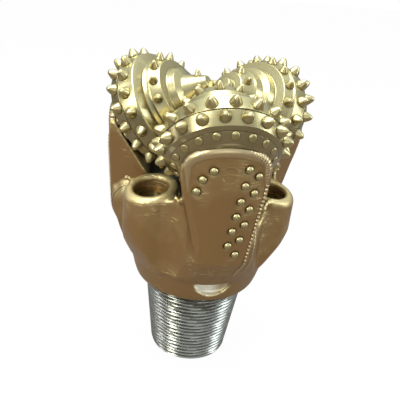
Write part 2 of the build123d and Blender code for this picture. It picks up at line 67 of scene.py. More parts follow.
camera_data = bpy.data.cameras.new("camera")
camera_data.sensor_width = SENSOR_WIDTH
camera_data.lens = FOCAL_LENGTH
camera_data.clip_start = 0.01
camera = bpy.data.objects.new("camera", camera_data)
bpy.context.collection.objects.link(camera)
stand = Vector((
    -CAMERA_DISTANCE * math.sin(LEG_TURN),
    -CAMERA_DISTANCE * math.cos(LEG_TURN),
    CAMERA_HEIGHT,
))
camera.matrix_world = (
    Matrix.Translation(stand)
    @ Matrix.Rotation(-CAMERA_YAW - LEG_TURN, 4, "Z")
    @ Matrix.Rotation(math.pi / 2 - CAMERA_PITCH, 4, "X")
    @ Matrix.Rotation(CAMERA_ROLL, 4, "Z")
)
bpy.context.scene.camera = camera
bpy.context.scene.view_settings.view_transform = "Standard"


def fill(node, inputs):
    """Gives a node's inputs their values, and links those where another node's socket is given."""
    for name, value in inputs.items():
        if isinstance(value, bpy.types.NodeSocket):
            node.id_data.links.new(value, node.inputs[name])
        else:
            node.inputs[name].default_value = value


def tree_tools(tree):
    """Short ways to add to a tree: any node with its inputs, a math node, a mix of two colours."""
    def add(kind, inputs=None, **settings):
        node = tree.nodes.new(kind)
        for setting, value in settings.items():
            setattr(node, setting, value)
        fill(node, inputs or {})
        return node

    def calc(operation, *values, clamp=False):
        inputs = dict(enumerate(values))
        return add("ShaderNodeMath", inputs, operation=operation, use_clamp=clamp).outputs[0]

    def blend(share, first, second):
        inputs = {"Factor": share, "A": first, "B": second}
        return add("ShaderNodeMix", inputs, data_type="RGBA").outputs["Result"]

    return add, calc, blend


def new_material(name):
    """A material with its node tree cleared down to one Principled shader and the output."""
    material = bpy.data.materials.new(name)
    material.use_nodes = True
    material.node_tree.nodes.clear()
    add = tree_tools(material.node_tree)[0]
    shader = add("ShaderNodeBsdfPrincipled")
    add("ShaderNodeOutputMaterial", {"Surface": shader.outputs["BSDF"]})
    return material, shader


FLOOR_HALF = 3.0
FLOOR_WHITE_SHARE = 0.965
FLOOR_DIRECT = (0.86, 0.86, 0.86, 1)
FLOOR_IN_REFLECTION = (0.30, 0.29, 0.28, 1)
floor_mesh = bpy.data.meshes.new("floor")
floor_corners = [(-1, -1), (1, -1), (1, 1), (-1, 1)]
floor_mesh.from_pydata(
    [(x * FLOOR_HALF, y * FLOOR_HALF, 0.0) for x, y in floor_corners], [], [(0, 1, 2, 3)]
)
floor = bpy.data.objects.new("floor", floor_mesh)
bpy.context.collection.objects.link(floor)
floor_paint, floor_shader = new_material("floor_white")
add, calc, blend = tree_tools(floor_paint.node_tree)
floor_rays = add("ShaderNodeLightPath").outputs
floor_tone = blend(floor_rays["Is Glossy Ray"], FLOOR_DIRECT, FLOOR_IN_REFLECTION)
fill(floor_shader, {"Roughness": 0.7, "Base Color": floor_tone})
floor_mix = add("ShaderNodeMixShader", {
    0: calc("MULTIPLY", floor_rays["Is Camera Ray"], FLOOR_WHITE_SHARE),
    1: floor_shader.outputs["BSDF"],
    2: add("ShaderNodeEmission").outputs[0],
})
fill(floor_paint.node_tree.get_output_node("ALL"), {"Surface": floor_mix.outputs[0]})
floor_mesh.materials.append(floor_paint)
floor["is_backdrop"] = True

SKY_RAMP = [(0.0, (0.26, 0.25, 0.24, 1)), (0.75, (1.0, 1.0, 1.0, 1))]
SKY_STRENGTH = 0.8
world = bpy.data.worlds.new("studio")
bpy.context.scene.world = world
world.use_nodes = True
world.node_tree.nodes.clear()
add = tree_tools(world.node_tree)[0]
sky_where = add("ShaderNodeTexCoord").outputs["Generated"]
sky_height = add("ShaderNodeSeparateXYZ", {0: sky_where}).outputs["Z"]
sky_ramp = add("ShaderNodeValToRGB", {"Fac": sky_height})
for stop, (place, colour) in zip(sky_ramp.color_ramp.elements, SKY_RAMP):
    stop.position = place
    stop.color = colour
sky_light = add("ShaderNodeBackground", {
    "Color": sky_ramp.outputs["Color"], "Strength": SKY_STRENGTH,
})
sky_white = add("ShaderNodeBackground", {"Color": (1.0, 1.0, 1.0, 1)})
sky_mix = add("ShaderNodeMixShader", {
    0: add("ShaderNodeLightPath").outputs["Is Camera Ray"],
    1: sky_light.outputs[0],
    2: sky_white.outputs[0],
})
add("ShaderNodeOutputWorld", {"Surface": sky_mix.outputs[0]})


def soft_box(name, place, aim, width, height, watts, colour=(1, 1, 1)):
    """One rectangular studio lamp, aimed at a point."""
    lamp = bpy.data.lights.new(name, "AREA")
    lamp.shape = "RECTANGLE"
    lamp.size = width
    lamp.size_y = height
    lamp.energy = watts
    lamp.color = colour
    box = bpy.data.objects.new(name, lamp)
    bpy.context.collection.objects.link(box)
    turn = (Vector(aim) - Vector(place)).to_track_quat("-Z", "Y")
    box.matrix_world = Matrix.Translation(place) @ turn.to_matrix().to_4x4()


soft_box("overhead", (-0.1, 0.1, 1.5), (0, 0, 0.2), 0.9, 0.9, 14)
soft_box("key", (-1.1, -0.7, 1.1), (0, 0, 0.2), 0.4, 0.9, 12, (1.0, 0.99, 0.88))
soft_box("side_strip", (1.2, -0.3, 0.7), (0, 0, 0.2), 0.35, 1.1, 6, (0.9, 0.96, 1.0))
soft_box("left_strip", (-1.1, 0.15, 0.5), (0, 0, 0.1), 0.12, 1.2, 2)
soft_box("front_fill", (0.1, -1.5, 0.6), (0, 0, 0.2), 1.0, 0.6, 3)


# --- Legs and nozzle bosses ------------------------------------------------------------------
# Three steel forgings welded together with a nozzle tube between each pair. The corners are
# rounded by forging and grinding, and the whole is sprayed with a satin champagne gold paint.
LEG_COUNT = 3
LEG_STEP = 120.0
FRONT = -90.0
PIN_LENGTH = 0.10795
SHADE_OUTPUTS = [("Color", "Color"), ("Roughness", "Float"), ("Normal", "Vector")]


def new_group(name, kind, inputs, outputs):
    """A node group with its sockets, each a name, a kind and, for an input, a value or None."""
    group = bpy.data.node_groups.new(name, kind)
    for direction, sockets in (("INPUT", inputs), ("OUTPUT", outputs)):
        for label, socket_kind, *value in sockets:
            socket = group.interface.new_socket(
                label, in_out=direction, socket_type="NodeSocket" + socket_kind
            )
            if value and value[0] is not None:
                socket.default_value = value[0]
    add, calc, blend = tree_tools(group)
    return group, add("NodeGroupInput").outputs, add, calc, blend


def paint_wear_and_light_group():
    """Metallic gold paint: a painted highlight makes upward faces pale and painted shade makes the
    sides brown, worn edges are pale, painted shade (ambient occlusion) darkens the hollows, with
    brush and file marks under it."""
    group, entry, add, calc, blend = new_group("gold_paint_wear_and_painted_light", "ShaderNodeTree", [
        ("Top Paint", "Color", (0.8, 0.75, 0.45, 1)),
        ("Side Paint", "Color", (0.3, 0.2, 0.08, 1)),
        ("Dirt", "Color", (0.05, 0.035, 0.015, 1)),
        ("Roughness", "Float", 0.36),
        ("Edge Wear", "Float", 0.5),
        ("Grain Scale", "Float", 60.0),
        ("Grain Height", "Float", 0.2),
        ("File Marks", "Float", 0.0),
        ("Dirt Reach", "Float", 0.004),
        ("Patchiness", "Float", 0.2),
    ], SHADE_OUTPUTS)
    where = add("ShaderNodeTexCoord").outputs["Object"]
    surface = add("ShaderNodeNewGeometry").outputs
    marks = {
        mark: add("ShaderNodeAttribute", attribute_name=mark).outputs["Fac"]
        for mark in ("crest", "milled", "scorch_and_shade")
    }

    clouds = add("ShaderNodeTexNoise", {"Vector": where, "Scale": 26.0, "Detail": 5.0})
    cloud = clouds.outputs["Fac"]
    # Painted highlight and shade: faces that point up lean to the lit top tone, upright and
    # downward faces to the shaded side tone.
    facing = add("ShaderNodeSeparateXYZ", {0: surface["Normal"]}).outputs["Z"]
    upward_sheen = calc("ADD", calc("MULTIPLY_ADD", facing, 0.95, 0.04),
                   calc("MULTIPLY", calc("SUBTRACT", cloud, 0.5), entry["Patchiness"]), clamp=True)
    edge = add("ShaderNodeMapRange", {
        "Value": surface["Pointiness"], "From Min": 0.505, "From Max": 0.60,
    })
    worn = calc("ADD", calc("MULTIPLY", edge.outputs["Result"], entry["Edge Wear"]),
                calc("MULTIPLY", marks["crest"], 0.45))

    slant = add("ShaderNodeMapping", {
        "Vector": where, "Rotation": (0.5, 0.7, 0.3), "Scale": (1.0, 1.0, 6.0),
    })
    strokes = add("ShaderNodeTexNoise", {
        "Vector": slant.outputs[0], "Scale": 95.0, "Detail": 2.0,
    })
    stroke = calc("MULTIPLY_ADD", strokes.outputs["Fac"], 9.0, -4.9, clamp=True)
    patch = calc("MULTIPLY_ADD", cloud, 9.0, -4.7, clamp=True)
    filed = calc("MULTIPLY", calc("MULTIPLY", stroke, patch), entry["File Marks"])
    pale = calc("ADD", calc("ADD", upward_sheen, worn), calc("MULTIPLY", filed, 0.3), clamp=True)

    # Painted shade: ambient occlusion darkens hollows, creases and the feet of inserts towards the
    # crevice shade colour.
    hollow = add("ShaderNodeAmbientOcclusion", {"Distance": entry["Dirt Reach"]}, samples=10)
    unshaded_share = calc("MULTIPLY_ADD", hollow.outputs["AO"], 1.35, -0.3, clamp=True)
    scorch_and_shade_share = calc("MULTIPLY", marks["scorch_and_shade"],
                  calc("MULTIPLY_ADD", cloud, 1.6, 0.1, clamp=True))
    # Painted light: the shaded side tone and the lit top tone, mixed by facing, wear and file
    # marks.
    colour = blend(pale, entry["Side Paint"], entry["Top Paint"])
    colour = blend(unshaded_share, entry["Dirt"], colour)
    # Bare milled steel where marked; its fade towards a leg's right side is painted shade.
    colour = blend(marks["milled"], colour, (0.86, 0.83, 0.70, 1))
    # Near black where marked: weld blackening, and painted shade in the gap under the cones.
    colour = blend(scorch_and_shade_share, colour, (0.035, 0.032, 0.028, 1))

    grain = add("ShaderNodeTexNoise", {
        "Vector": where, "Scale": entry["Grain Scale"], "Detail": 7.0, "Roughness": 0.6,
    }).outputs["Fac"]
    relief = calc("ADD", calc("MULTIPLY", grain, entry["Grain Height"]), filed)
    bump = add("ShaderNodeBump", {"Height": relief, "Distance": 0.0012, "Strength": 0.8})
    add("NodeGroupOutput", {
        "Color": colour,
        "Roughness": calc("ADD", calc("SUBTRACT", entry["Roughness"], 0.04),
                          calc("MULTIPLY", grain, 0.08)),
        "Normal": bump.outputs["Normal"],
    })
    return group


def group_material(name, group, metal, inputs):
    """A material whose colour, roughness and relief come from a shared node group."""
    material, shader = new_material(name)
    add = tree_tools(material.node_tree)[0]
    marks = add("ShaderNodeGroup", inputs, node_tree=group).outputs
    fill(shader, {
        "Base Color": marks["Color"], "Roughness": marks["Roughness"], "Normal": marks["Normal"],
        "Metallic": metal,
    })
    return material


wear_and_light_group = paint_wear_and_light_group()


def gold_paint(name, top, side, roughness, metal, **marks):
    """Metallic gold paint for one kind of piece: its two tones, a painted highlight tone for upward
    faces and a painted shade tone for the sides, its gloss and its marks.
    """
    inputs = {socket.replace("_", " ").title(): value for socket, value in marks.items()}
    inputs.update({"Top Paint": top, "Side Paint": side, "Roughness": roughness})
    return group_material(name, wear_and_light_group, metal, inputs)


# The first colour is the painted highlight tone of upward faces, the second the painted shade tone
# of the sides; the crevice reach sets how far painted shade darkens the hollows.
body_paint = gold_paint(
    "body_gold", (0.82, 0.73, 0.38, 1), (0.285, 0.168, 0.066, 1), 0.40, 0.82,
    grain_scale=260.0, grain_height=0.2, file_marks=0.8, dirt_reach=0.006, edge_wear=0.0,
    patchiness=0.55,
)


def link_mesh(name, mesh, material):
    """Puts a mesh in the scene as a piece of one material."""
    piece = bpy.data.objects.new(name, mesh)
    bpy.context.collection.objects.link(piece)
    mesh.materials.clear()
    mesh.materials.append(material)
    return piece


def shade_smooth(mesh, angle_degrees=180.0):
    """Smooth shading, with edges sharper than the angle kept crisp."""
    for face in mesh.polygons:
        face.use_smooth = True
    if angle_degrees < 180.0:
        mesh.set_sharp_from_angle(angle=math.radians(angle_degrees))


def evaluated_mesh(piece):
    """A plain mesh of a piece with its modifiers applied. The piece is then removed."""
    depsgraph = bpy.context.evaluated_depsgraph_get()
    result = bpy.data.meshes.new_from_object(piece.evaluated_get(depsgraph))
    bpy.data.objects.remove(piece)
    return result


up = Vector((0, 0, 1))


def leg_heading(number, turn=0.0):
    """Unit vector out from the bit's axis through a leg, or at a turn in degrees from it."""
    angle = math.radians(FRONT + LEG_STEP * (number - 1) + turn)
    return Vector((math.cos(angle), math.sin(angle), 0))


def leg_point(number, across, outward, height):
    """A point in a leg's own axes, given in millimetres: across it, outward from the bit, up."""
    out = leg_heading(number)
    return (up.cross(out) * across + out * outward + up * height) / 1000


def along_table(table, value):
    """Straight-line reading of a short table of (place, size) pairs."""
    for (low, small), (high, large) in zip(table, table[1:]):
        if value <= high:
            return small + max(0.0, value - low) / (high - low) * (large - small)
    return table[-1][1]


def clamped(value, low=0.0):
    """A share kept between a lowest value and 1."""
    return min(1.0, max(low, value))


# Weld metal that fills the corner between a leg and its nozzle bosses: across, outward and top
# of each corner, in the leg's axes. Left of a leg it is a broad drape, right of it a narrow one.
LEFT_WEB = [(0, 62, 218), (0, 97, 240), (-24, 97, 240), (-30, 81, 236), (-42, 67, 230),
            (-60, 60, 224), (-72, 60, 220), (-42, 48, 222)]
RIGHT_WEB = [(14, 62, 212), (14, 97, 236), (31, 98, 236), (40, 92, 190), (46, 77, 203),
             (54, 62, 218), (44, 44, 212)]
WEB_FOOT = 136.5
# Drops of weld metal: across, outward, up and radius.
WELD_BLOBS = [(52, 66, 226, 3.0), (56, 62, 228, 2.8), (49, 71, 224, 3.2), (60, 59, 229, 2.4),
              (-36, 74, 233, 3.4), (-40, 66, 231, 3.0)]
# The ball plug's weld, ground flush: its middle across and up, and where it starts and ends.
PLUG_PLACE = (2.3, 276.0)
PLUG_COVER_RADIUS = 8.6
PLUG_COVER_REACH = (92.0, 105.6)
PLUG_STEPS = 24


def add_prism(work, low, high):
    """A closed prism between two rings of points."""
    low = [work.verts.new(point) for point in low]
    high = [work.verts.new(point) for point in high]
    work.faces.new(low)
    work.faces.new(high)
    for step in range(len(low)):
        after = (step + 1) % len(low)
        work.faces.new((low[step], low[after], high[after], high[step]))


def add_web(work, number, corners):
    """An upright prism of weld metal with a sloping top."""
    add_prism(work, [leg_point(number, x, y, WEB_FOOT) for x, y, top in corners],
              [leg_point(number, x, y, top) for x, y, top in corners])


def add_plug_cover(work, number):
    """Weld metal over the ball plug, ground flush with the back of the leg."""
    angles = [2 * math.pi * step / PLUG_STEPS for step in range(PLUG_STEPS)]
    add_prism(work, *[
        [leg_point(number, PLUG_PLACE[0] + PLUG_COVER_RADIUS * math.cos(angle), outward,
                   PLUG_PLACE[1] + PLUG_COVER_RADIUS * math.sin(angle)) for angle in angles]
        for outward in PLUG_COVER_REACH
    ])


def smoothed(mesh, rounds, share_at=None):
    """Rounds a mesh's corners: everywhere, or by a share that depends on the height in mm."""
    piece = link_mesh("skin", mesh, body_paint)
    rounding = piece.modifiers.new("rounding", "SMOOTH")
    rounding.factor = 0.5
    rounding.iterations = rounds
    if share_at:
        shares = piece.vertex_groups.new(name="shares")
        for vertex in piece.data.vertices:
            share = share_at(vertex.co.z * 1000)
            if share > 0.0:
                shares.add([vertex.index], share, "REPLACE")
        rounding.vertex_group = "shares"
    return evaluated_mesh(piece)


def one_skin(mesh, grain):
    """One skin over overlapping solids."""
    piece = link_mesh("skin", mesh, body_paint)
    skin = piece.modifiers.new("skin", "REMESH")
    skin.mode = "VOXEL"
    skin.voxel_size = grain
    return evaluated_mesh(piece)


def finished_mesh(name, work, weld=None):
    """The mesh of a bmesh, with its faces outward and, if asked, its doubled points welded."""
    if weld:
        bmesh.ops.remove_doubles(work, verts=work.verts, dist=weld)
    bmesh.ops.recalc_face_normals(work, faces=work.faces)
    mesh = bpy.data.meshes.new(name)
    work.to_mesh(mesh)
    work.free()
    return mesh


BOSS_GRAIN = 0.0018
BOSS_ROUNDS = 34
BOSS_SOFT_BELOW = 216.0
BOSS_SOFT_FADE = 14.0
BOSS_SOFT_LEAST = 0.15
BODY_GRAIN = 0.0014
BODY_ROUNDS = 8


def welded_body():
    """Legs and nozzle bosses as one skin: the bosses and webs soft, the legs crisper."""
    work = bmesh.new()
    for number in range(1, LEG_COUNT + 1):
        work.from_mesh(nodes[f"nozzle_boss_{number}"].data)
        add_web(work, number, LEFT_WEB)
        add_web(work, number, RIGHT_WEB)
    bosses = one_skin(finished_mesh("bosses", work, 1e-6), BOSS_GRAIN)
    bosses = smoothed(bosses, BOSS_ROUNDS, lambda height: clamped(
        (BOSS_SOFT_BELOW - height) / BOSS_SOFT_FADE, BOSS_SOFT_LEAST
    ))
    work = bmesh.new()
    work.from_mesh(bosses)
    for number in range(1, LEG_COUNT + 1):
        leg = bmesh.new()
        leg.from_mesh(nodes[f"leg_{number}"].data)
        work.from_mesh(finished_mesh("leg", leg, 1e-6))
        add_plug_cover(work, number)
        for across, outward, height, radius in WELD_BLOBS:
            bmesh.ops.create_icosphere(
                work, subdivisions=2, radius=radius / 1000,
                matrix=Matrix.Translation(leg_point(number, across, outward, height)),
            )
    return smoothed(one_skin(finished_mesh("joined", work), BODY_GRAIN), BODY_ROUNDS)


# Outlines by height in millimetres: how far out a leg's back and a boss reach, and where across
# a leg its left edge runs.
BACK_RADIUS = 105.95
LEG_BACK = [(116, 72.6), (134, 77.4), (176, 102.5), (250, BACK_RADIUS), (320, BACK_RADIUS)]
BOSS_OUTLINE = [(116, 73.0), (134, 78.0), (152, 87.0), (170, 95.5), (186, 100.0), (202, 101.0)]
BOSS_HALF_ANGLE = 34.0
BOSS_BLEND_ANGLE = 8.0
LEFT_EDGE = [(116, -16), (176, -18), (203, -21), (235, -29), (262, -40), (281, -52), (310, -60)]
LEFT_SLOPE = 0.8
LEFT_SLOPE_REACH = 26.0
LEFT_SLOPE_HEIGHTS = (136.0, 306.0)
LEFT_SLOPE_FADE = 24.0
LEFT_SLOPE_INNER = 50.0
# Each nozzle tube's mouth is tilted outward about a point on the tube's axis.
BOSS_DISTANCE = 72.0
TUBE_RADIUS = 30.5
TUBE_TILT = 0.2
TUBE_TILT_HEIGHTS = (212.0, 238.0)
TUBE_TILT_FADE = 14.0


def dress_body(mesh):
    """Slopes the left side of each leg back into its web, keeps the foot of the body inside its
    outline and tilts the mouths of the bosses."""
    for vertex in mesh.vertices:
        place = vertex.co * 1000
        angle = math.degrees(math.atan2(place.y, place.x)) - FRONT
        turn = math.radians(FRONT + LEG_STEP * (round(angle / LEG_STEP) % LEG_COUNT))
        east, north = math.cos(turn), math.sin(turn)
        across = place.y * east - place.x * north
        outward = place.x * east + place.y * north
        edge = along_table(LEFT_EDGE, place.z)
        foot, top = LEFT_SLOPE_HEIGHTS
        if across < edge and foot < place.z < top and outward > LEFT_SLOPE_INNER:
            back = math.sqrt(along_table(LEG_BACK, place.z) ** 2 - edge ** 2)
            slope = LEFT_SLOPE * clamped((place.z - foot) / LEFT_SLOPE_FADE)
            limit = back - slope * min(LEFT_SLOPE_REACH, edge - across)
            if outward > limit:
                vertex.co.x += (limit - outward) * east / 1000
                vertex.co.y += (limit - outward) * north / 1000
        place = vertex.co * 1000
        reach = math.hypot(place.x, place.y)
        from_boss = abs((angle % LEG_STEP) - LEG_STEP / 2)
        beside = clamped((from_boss - BOSS_HALF_ANGLE) / BOSS_BLEND_ANGLE)
        outline = along_table(BOSS_OUTLINE, place.z) * (1 - beside)
        outline += along_table(LEG_BACK, place.z) * beside
        if reach > outline and BOSS_OUTLINE[0][0] < place.z < BOSS_OUTLINE[-1][0]:
            vertex.co.x *= outline / reach
            vertex.co.y *= outline / reach
        boss = math.floor((angle % 360.0) / LEG_STEP)
        turn = math.radians(LEG_STEP / 2 + LEG_STEP * boss + FRONT)
        east, north = math.cos(turn), math.sin(turn)
        tube_gap = math.hypot(place.x - BOSS_DISTANCE * east, place.y - BOSS_DISTANCE * north)
        foot, top = TUBE_TILT_HEIGHTS
        if tube_gap < TUBE_RADIUS and foot < place.z < top:
            beyond = place.x * east + place.y * north - BOSS_DISTANCE
            share = clamped((place.z - foot) / TUBE_TILT_FADE)
            vertex.co.z -= TUBE_TILT * beyond * share / 1000


# Where the neck is turned bare: the line it is turned to (radius, height, slope), the band of
# heights, how deep the cut bites first, and from where it fades towards a leg's right side; the
# fade is painted shade on the right part of the notch.
NECK_LINE = (72.5, 116.0, 0.25)
NECK_BAND = (116.5, 137.0)
NECK_INNER = 62.0
NECK_BITE = 0.6
NECK_SHADE_FADE = (20.0, 14.0, 0.25)
# Where the body is painted near black, partly weld blackening and partly painted shade in the gap
# under the cones: inside a radius, between two heights and outside the nozzle bores, each with the
# distance over which it fades.
SCORCH_SHADE_RADIUS, SCORCH_SHADE_RADIUS_FADE = 66.0, 6.0
SCORCH_SHADE_FOOT, SCORCH_SHADE_FOOT_FADE = 208.0, 8.0
SCORCH_SHADE_TOP, SCORCH_SHADE_TOP_FADE = 268.0, 14.0
CLEAN_BORE, CLEAN_BORE_FADE = 27.0, 4.0
# How far the skin must bulge, in shares of its grain, for paint to wear, and to wear through.
WEAR_START, WEAR_SPAN = 0.045, 0.13


def mark_surface(mesh):
    """Stores on the skin where paint is worn, where it is milled bare and where it is painted near
    black, partly weld blackening and partly painted shade under the cones."""
    count = len(mesh.vertices)
    places = [0.0] * (3 * count)
    normals = [0.0] * (3 * count)
    pairs = [0] * (2 * len(mesh.edges))
    mesh.vertices.foreach_get("co", places)
    mesh.vertex_normals.foreach_get("vector", normals)
    mesh.edges.foreach_get("vertices", pairs)
    edges = list(zip(pairs[::2], pairs[1::2]))
    around = [0.0] * (3 * count)
    links = [0] * count
    for first, second in edges:
        links[first] += 1
        links[second] += 1
        for axis in range(3):
            around[3 * first + axis] += places[3 * second + axis]
            around[3 * second + axis] += places[3 * first + axis]
    bulges, milled, scorch_and_shade = [], [], []
    for index in range(count):
        bulge = sum(
            (places[3 * index + axis] - around[3 * index + axis] / max(1, links[index]))
            * normals[3 * index + axis]
            for axis in range(3)
        )
        bulges.append(bulge / BODY_GRAIN)
        x, y, height = (1000 * places[3 * index + axis] for axis in range(3))
        reach = math.hypot(x, y)
        turned = math.degrees(math.atan2(y, x)) - FRONT
        from_leg = math.radians((turned + LEG_STEP / 2) % LEG_STEP - LEG_STEP / 2)
        across = reach * math.sin(from_leg)
        bite = NECK_LINE[0] + (height - NECK_LINE[1]) * NECK_LINE[2] - reach
        on_neck = NECK_BAND[0] < height < NECK_BAND[1] and reach > NECK_INNER
        bare = clamped(bite - NECK_BITE) if on_neck else 0.0
        fade_from, fade, least = NECK_SHADE_FADE
        # Painted shade: the bare colour fades towards a leg's right side, darkening the right part
        # of the notch.
        milled.append(bare * clamped((fade_from - across) / fade, least))
        from_tube = math.radians(turned % LEG_STEP - LEG_STEP / 2)
        tube_gap = math.hypot(
            reach * math.cos(from_tube) - BOSS_DISTANCE, reach * math.sin(from_tube)
        )
        # Near-black mask: weld blackening and painted shade between the legs under the cones.
        inside = clamped((SCORCH_SHADE_RADIUS - reach) / SCORCH_SHADE_RADIUS_FADE)
        inside *= clamped((height - SCORCH_SHADE_FOOT) / SCORCH_SHADE_FOOT_FADE)
        inside *= clamped((tube_gap - CLEAN_BORE) / CLEAN_BORE_FADE)
        scorch_and_shade.append(inside * clamped((SCORCH_SHADE_TOP - height) / SCORCH_SHADE_TOP_FADE))
    worn = [0.0] * count
    for first, second in edges:
        worn[first] += bulges[second] / max(1, links[first])
        worn[second] += bulges[first] / max(1, links[second])
    crest = [clamped((value - WEAR_START) / WEAR_SPAN) for value in worn]
    for name, values in (("crest", crest), ("milled", milled), ("scorch_and_shade", scorch_and_shade)):
        mesh.attributes.new(name, "FLOAT", "POINT").data.foreach_set("value", values)


def cut_flat(work, point, normal):
    """Cuts away what lies on the normal's side of a plane and closes the cut."""
    everything = list(work.verts) + list(work.edges) + list(work.faces)
    cut = bmesh.ops.bisect_plane(
        work, geom=everything, plane_co=point, plane_no=normal, clear_outer=True, dist=1e-7
    )
    rim = [item for item in cut["geom_cut"] if isinstance(item, bmesh.types.BMEdge)]
    bmesh.ops.triangle_fill(work, edges=rim, use_beauty=True, use_dissolve=False, normal=normal)


# The body is cut into its three forgings along the weld seams, off the middle of each boss.
SEAM_OFFSET = 87.0
CREASE_HEIGHT = 176.0
CREASE_SPREAD = 14.0
CREASE_ROUNDS = 40
FORGING_SHARP = 50.0
body_skin = welded_body()
dress_body(body_skin)
body_skin = smoothed(body_skin, CREASE_ROUNDS, lambda height: 1.0 - (
    (height - CREASE_HEIGHT) / CREASE_SPREAD
) ** 2)
mark_surface(body_skin)
for number in range(1, LEG_COUNT + 1):
    work = bmesh.new()
    work.from_mesh(body_skin)
    cut_flat(work, Vector((0, 0, PIN_LENGTH)), -up)
    cut_flat(work, Vector((0, 0, 0)), up.cross(leg_heading(number, SEAM_OFFSET)))
    cut_flat(work, Vector((0, 0, 0)), leg_heading(number, SEAM_OFFSET - LEG_STEP).cross(up))
    mesh = finished_mesh(f"leg_forging_{number}", work)
    shade_smooth(mesh, FORGING_SHARP)
    piece = link_mesh(f"leg_forging_{number}", mesh, body_paint)
    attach(piece, "body")
    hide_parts(f"leg_{number}", f"nozzle_boss_{number}")


# --- Threaded pin ----------------------------------------------------------------------------
# The lower end of the three legs, turned and threaded together after welding: a right-hand
# rounded V thread on a 1 in 4 taper, left as bare bright steel under a film of oil.
THREAD_PITCH = 0.00508
THREAD_DEPTH = 0.0029
PIN_BASE_RADIUS = 0.0587375
PIN_SLOPE = 0.125
PIN_END_BEVEL = 0.004
WATER_BORE = 0.028575
WATER_BORE_BEVEL = 0.0015
THREAD_AROUND = 144
THREAD_ALONG = 176
THREAD_RUN_OUT = 26.0


def end_tree(add, geometry, material):
    """Ends a geometry tree: copies made real, and the material given."""
    whole = add("GeometryNodeRealizeInstances", {"Geometry": geometry}).outputs[0]
    paint = add("GeometryNodeSetMaterial", {"Geometry": whole, "Material": material})
    add("NodeGroupOutput", {0: paint.outputs[0]})


def thread_tree():
    """A rounded V thread wound on a taper: a grid rolled into a tube, with its radius waved."""
    tree, entry, add, calc, _ = new_group("tapered_thread", "GeometryNodeTree", [
        ("Geometry", "Geometry"),
        ("Length", "Float", PIN_LENGTH),
        ("Base Radius", "Float", PIN_BASE_RADIUS),
        ("Slope", "Float", PIN_SLOPE),
        ("Pitch", "Float", THREAD_PITCH),
        ("Depth", "Float", THREAD_DEPTH),
        ("Around", "Int", THREAD_AROUND),
        ("Along", "Int", THREAD_ALONG),
        ("Steel", "Material"),
    ], [("Geometry", "Geometry")])
    grid = add("GeometryNodeMeshGrid", {
        "Vertices X": entry["Around"], "Vertices Y": entry["Along"],
    })
    flat = add("ShaderNodeSeparateXYZ", {0: add("GeometryNodeInputPosition").outputs[0]}).outputs
    turn = calc("ADD", flat[0], 0.5)
    share = calc("ADD", flat[1], 0.5)
    height = calc("MULTIPLY", share, entry["Length"])
    below = calc("SUBTRACT", entry["Length"], height)
    crest = calc("SUBTRACT", entry["Base Radius"], calc("MULTIPLY", below, entry["Slope"]))
    phase = calc("SUBTRACT", calc("DIVIDE", height, entry["Pitch"]), turn)
    valley = calc("MULTIPLY_ADD", calc("PINGPONG", phase, 0.5), 2.6, -0.3, clamp=True)
    rounded_valley = calc("SMOOTH_MIN", valley, 0.93, 0.12)
    run_out = calc("MULTIPLY", calc("SUBTRACT", 1.0, share), THREAD_RUN_OUT, clamp=True)
    depth = calc("MULTIPLY", calc("MULTIPLY", rounded_valley, run_out), entry["Depth"])
    to_end = calc("SUBTRACT", 1.0, calc("DIVIDE", height, PIN_END_BEVEL), clamp=True)
    nose = calc("MULTIPLY", to_end, PIN_END_BEVEL)
    limit = calc("SUBTRACT", calc("SUBTRACT", crest, entry["Depth"]), nose)
    reach = calc("MINIMUM", calc("SUBTRACT", crest, depth), calc("ADD", limit, height))
    angle = calc("MULTIPLY", turn, 2 * math.pi)
    place = add("ShaderNodeCombineXYZ", {
        0: calc("MULTIPLY", reach, calc("COSINE", angle)),
        1: calc("MULTIPLY", reach, calc("SINE", angle)),
        2: height,
    })
    # The valley share is stored as root, for the steel to paint shade into the thread roots.
    store = add("GeometryNodeStoreNamedAttribute", {
        "Geometry": grid.outputs["Mesh"], "Name": "root", "Value": valley,
    }, data_type="FLOAT")
    roll = add("GeometryNodeSetPosition", {
        "Geometry": store.outputs[0], "Position": place.outputs[0],
    })
    weld = add("GeometryNodeMergeByDistance", {"Geometry": roll.outputs[0], "Distance": 1e-5})
    end_tree(add, weld.outputs[0], entry["Steel"])
    return tree


def grown_mesh(tree, values, start=None):
    """The plain mesh that a geometry tree makes with these inputs, from a start mesh if given."""
    seed = bpy.data.objects.new("seed", start or bpy.data.meshes.new("seed"))
    bpy.context.collection.objects.link(seed)
    modifier = seed.modifiers.new("tree", "NODES")
    modifier.node_group = tree
    for item in tree.interface.items_tree:
        if item.item_type == "SOCKET" and item.in_out == "INPUT" and item.name in values:
            modifier[item.identifier] = values[item.name]
    return evaluated_mesh(seed)


def lathe(work, outline, steps, closed=False):
    """Adds to a bmesh the surface that an outline of (radius, height) sweeps about +Z."""
    rings = []
    for radius, height in outline:
        if radius < 1e-7:
            rings.append([work.verts.new((0, 0, height))] * steps)
            continue
        ring = []
        for step in range(steps):
            angle = 2 * math.pi * step / steps
            x, y = radius * math.cos(angle), radius * math.sin(angle)
            ring.append(work.verts.new((x, y, height)))
        rings.append(ring)
    pairs = list(zip(rings, rings[1:]))
    if closed:
        pairs.append((rings[-1], rings[0]))
    for low, high in pairs:
        for step in range(steps):
            after = (step + 1) % steps
            corners = [low[step], low[after], high[after], high[step]]
            face = list(dict.fromkeys(corners))
            if len(face) > 2:
                work.faces.new(face)


